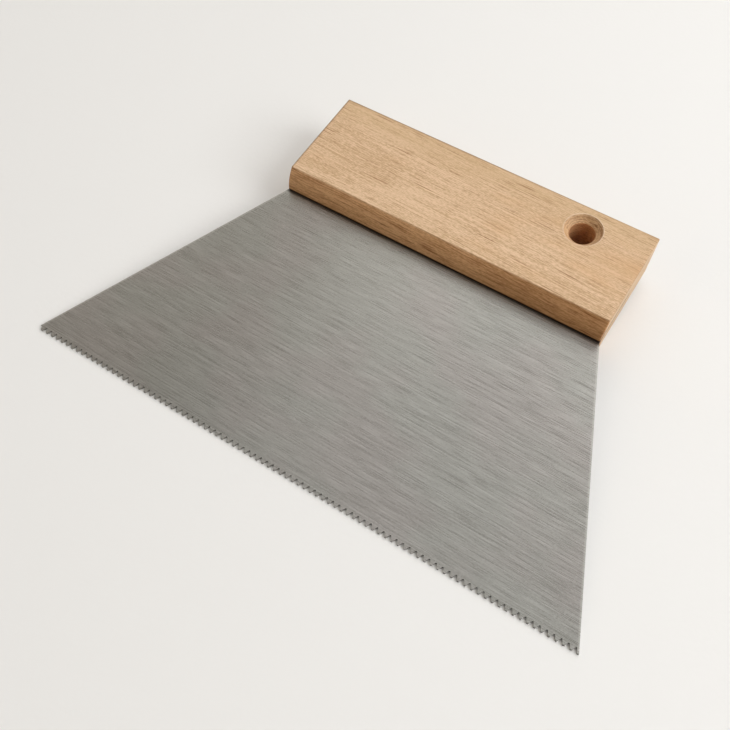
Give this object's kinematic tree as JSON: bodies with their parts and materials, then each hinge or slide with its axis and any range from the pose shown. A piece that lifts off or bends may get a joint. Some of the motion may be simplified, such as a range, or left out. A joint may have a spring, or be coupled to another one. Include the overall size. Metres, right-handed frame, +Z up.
{
  "type": "notched trowel",
  "caption": "Hand spreader: a wooden block grip with a hanging hole and a flared thin steel blade whose front edge has a row of fine V notches.",
  "frame": {"origin": "on the bench, under the middle of the tool's bounding box, as the tool rests blade down on its tooth tips and the handle's lower front crease", "axes": "+X along the handle towards its hanging hole, +Y from the toothed edge to the back of the handle, +Z up from the bench; the blade's plane is turned about X by 5.1 degrees, teeth down"},
  "size_m": [0.1795, 0.1198, 0.0188],
  "materials": {
    "beech": "planed and sanded, unvarnished",
    "blade_steel": "brushed along the handle, satin",
    "nail_steel": "plain drawn wire, dull",
    "cured_adhesive": "dull, dark amber"
  },
  "bodies": {
    "root": {"handle": "beech", "blade": "blade_steel", "blade_nails": "nail_steel", "adhesive_bond": "cured_adhesive"}
  },
  "joints": []
}
